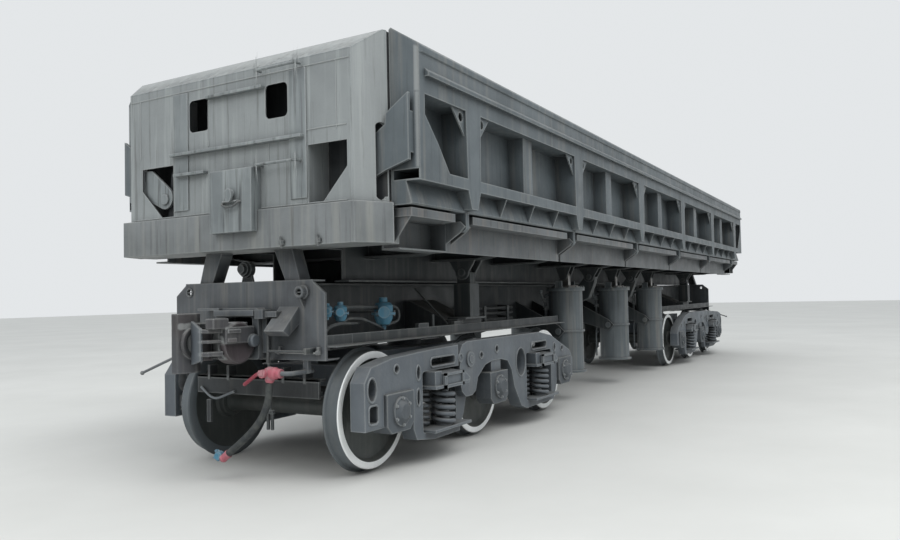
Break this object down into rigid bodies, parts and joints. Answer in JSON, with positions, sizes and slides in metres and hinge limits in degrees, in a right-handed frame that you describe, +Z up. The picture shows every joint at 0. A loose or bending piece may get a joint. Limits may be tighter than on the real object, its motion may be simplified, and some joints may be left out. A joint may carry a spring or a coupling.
{
  "type": "dump car",
  "caption": "Rail dump wagon with an open box body that tips to either side on pins, drop side boards, tipping cylinders, three-axle bogies and rigid-jaw couplers.",
  "frame": {"origin": "on the plane under the wheel flanges, midway between the ends and the sides; the rail head is 28 mm above it", "axes": "+X along the wagon towards the rear end, +Y towards the far side, +Z up; the end in the picture is at -X and the side in it at -Y"},
  "size_m": [15.18, 3.252, 3.373],
  "materials": {
    "wheel_steel": "rolled tread, pale painted rim ring",
    "bogie_casting": "dull grey enamel on cast steel",
    "box_casting": "dull dark grey",
    "spring_steel": "dull grey",
    "brake_iron": "dark and dusty",
    "end_paint": "satin grey enamel",
    "gear_paint": "satin darker grey enamel",
    "coupler_casting": "rough casting",
    "hose_rubber": "matt black",
    "fitting_iron": "dull",
    "frame_paint": "satin grey enamel",
    "pin_steel": "turned",
    "floor_steel": "worn plate",
    "side_paint": "satin grey enamel",
    "cylinder_paint": "satin grey enamel",
    "rod_steel": "ground"
  },
  "bodies": {
    "underframe": {"centre_sill": "frame_paint", "centre_pivots": "fitting_iron", "end_beam_front": "end_paint", "end_beam_rear": "end_paint", "end_rests": "frame_paint", "cross_beams": "frame_paint", "side_angles": "frame_paint", "saddle_arms": "frame_paint", "trunnion_brackets": "frame_paint", "uncoupling_rods": "fitting_iron", "end_cocks": "fitting_iron", "air_reservoirs": "frame_paint", "brake_hose_front": "hose_rubber", "brake_hose_rear": "hose_rubber", "hose_head_front": "fitting_iron", "hose_head_rear": "fitting_iron"},
    "bogie_front": {"side_frames_front": "bogie_casting", "axle_boxes_front": "box_casting", "springs_front": "spring_steel", "bolsters_front": "bogie_casting", "brake_gear_front": "brake_iron"},
    "wheelset_body_1": {"wheelset_1": "wheel_steel"},
    "wheelset_body_2": {"wheelset_2": "wheel_steel"},
    "wheelset_body_3": {"wheelset_3": "wheel_steel"},
    "coupler_body_front": {"coupler_front": "coupler_casting"},
    "bogie_rear": {"side_frames_rear": "bogie_casting", "axle_boxes_rear": "box_casting", "springs_rear": "spring_steel", "bolsters_rear": "bogie_casting", "brake_gear_rear": "brake_iron"},
    "wheelset_body_4": {"wheelset_4": "wheel_steel"},
    "wheelset_body_5": {"wheelset_5": "wheel_steel"},
    "wheelset_body_6": {"wheelset_6": "wheel_steel"},
    "coupler_body_rear": {"coupler_rear": "coupler_casting"},
    "tip_pin_body": {"tip_pins": "pin_steel"},
    "dump_body": {"floor_plate": "floor_steel", "cross_members": "frame_paint", "long_beams": "frame_paint", "floor_edges": "frame_paint", "end_bands": "frame_paint", "tip_ears": "frame_paint", "rod_cheeks": "frame_paint", "end_wall_front": "end_paint", "end_wall_rear": "end_paint", "wall_trim_front": "end_paint", "wall_trim_rear": "end_paint", "locking_gear_front": "gear_paint", "locking_gear_rear": "gear_paint"},
    "board_near": {"side_board_near": "side_paint"},
    "barrels_near": {"cylinder_barrels_near": "cylinder_paint"},
    "stages_near": {"cylinder_stages_near": "rod_steel"},
    "rods_near": {"cylinder_rods_near": "rod_steel"},
    "board_far": {"side_board_far": "side_paint"},
    "barrels_far": {"cylinder_barrels_far": "cylinder_paint"},
    "stages_far": {"cylinder_stages_far": "rod_steel"},
    "rods_far": {"cylinder_rods_far": "rod_steel"}
  },
  "joints": [
    {"name": "bogie_swivel_front", "type": "hinge", "parent": "underframe", "child": "bogie_front", "pos_m": [-4.75, 0, 0.9532], "axis": [0, 0, 1], "range_deg": [-3, 3]},
    {"name": "wheel_spin_1", "type": "hinge", "parent": "bogie_front", "child": "wheelset_body_1", "pos_m": [-6.5, 0, 0.498], "axis": [0, 1, 0], "continuous": true},
    {"name": "wheel_spin_2", "type": "hinge", "parent": "bogie_front", "child": "wheelset_body_2", "pos_m": [-4.75, 0, 0.498], "axis": [0, 1, 0], "continuous": true},
    {"name": "wheel_spin_3", "type": "hinge", "parent": "bogie_front", "child": "wheelset_body_3", "pos_m": [-3, 0, 0.498], "axis": [0, 1, 0], "continuous": true},
    {"name": "coupler_swing_front", "type": "hinge", "parent": "underframe", "child": "coupler_body_front", "pos_m": [-6.48, 0, 1.088], "axis": [0, 0, 1], "range_deg": [-5, 5]},
    {"name": "bogie_swivel_rear", "type": "hinge", "parent": "underframe", "child": "bogie_rear", "pos_m": [4.75, 0, 0.9532], "axis": [0, 0, 1], "range_deg": [-3, 3]},
    {"name": "wheel_spin_4", "type": "hinge", "parent": "bogie_rear", "child": "wheelset_body_4", "pos_m": [3, 0, 0.498], "axis": [0, 1, 0], "continuous": true},
    {"name": "wheel_spin_5", "type": "hinge", "parent": "bogie_rear", "child": "wheelset_body_5", "pos_m": [4.75, 0, 0.498], "axis": [0, 1, 0], "continuous": true},
    {"name": "wheel_spin_6", "type": "hinge", "parent": "bogie_rear", "child": "wheelset_body_6", "pos_m": [6.5, 0, 0.498], "axis": [0, 1, 0], "continuous": true},
    {"name": "coupler_swing_rear", "type": "hinge", "parent": "underframe", "child": "coupler_body_rear", "pos_m": [6.48, 0, 1.088], "axis": [0, 0, 1], "range_deg": [-5, 5]},
    {"name": "tip_near", "type": "hinge", "parent": "underframe", "child": "tip_pin_body", "pos_m": [0, -0.76, 1.628], "axis": [1, 0, 0], "range_deg": [0, 45]},
    {"name": "tip_far", "type": "hinge", "parent": "tip_pin_body", "child": "dump_body", "pos_m": [0, 0.76, 1.628], "axis": [1, 0, 0], "range_deg": [-45, 0]},
    {"name": "board_near_open", "type": "hinge", "parent": "dump_body", "child": "board_near", "pos_m": [0, -1.47, 1.952], "axis": [1, 0, 0], "range_deg": [0, 90]},
    {"name": "barrels_near_tilt", "type": "hinge", "parent": "underframe", "child": "barrels_near", "pos_m": [0, -0.76, 0.908], "axis": [1, 0, 0], "range_deg": [-14, 0]},
    {"name": "stages_near_slide", "type": "slide", "parent": "barrels_near", "child": "stages_near", "axis": [0, 0, 1], "range_m": [0, 0.57]},
    {"name": "rods_near_slide", "type": "slide", "parent": "stages_near", "child": "rods_near", "axis": [0, 0, 1], "range_m": [0, 0.57]},
    {"name": "board_far_open", "type": "hinge", "parent": "dump_body", "child": "board_far", "pos_m": [0, 1.47, 1.952], "axis": [1, 0, 0], "range_deg": [-90, 0]},
    {"name": "barrels_far_tilt", "type": "hinge", "parent": "underframe", "child": "barrels_far", "pos_m": [0, 0.76, 0.908], "axis": [1, 0, 0], "range_deg": [0, 14]},
    {"name": "stages_far_slide", "type": "slide", "parent": "barrels_far", "child": "stages_far", "axis": [0, 0, 1], "range_m": [0, 0.57]},
    {"name": "rods_far_slide", "type": "slide", "parent": "stages_far", "child": "rods_far", "axis": [0, 0, 1], "range_m": [0, 0.57]}
  ],
  "couplings": [
    {"joint": "board_near_open", "follows": "tip_near", "ratio": 2},
    {"joint": "barrels_near_tilt", "follows": "tip_far", "ratio": 0.3096},
    {"joint": "stages_near_slide", "follows": "tip_far", "m_per_rad": -0.7189},
    {"joint": "rods_near_slide", "follows": "tip_far", "m_per_rad": -0.7189},
    {"joint": "board_far_open", "follows": "tip_far", "ratio": 2},
    {"joint": "barrels_far_tilt", "follows": "tip_near", "ratio": 0.3096},
    {"joint": "stages_far_slide", "follows": "tip_near", "m_per_rad": 0.7189},
    {"joint": "rods_far_slide", "follows": "tip_near", "m_per_rad": 0.7189}
  ]
}
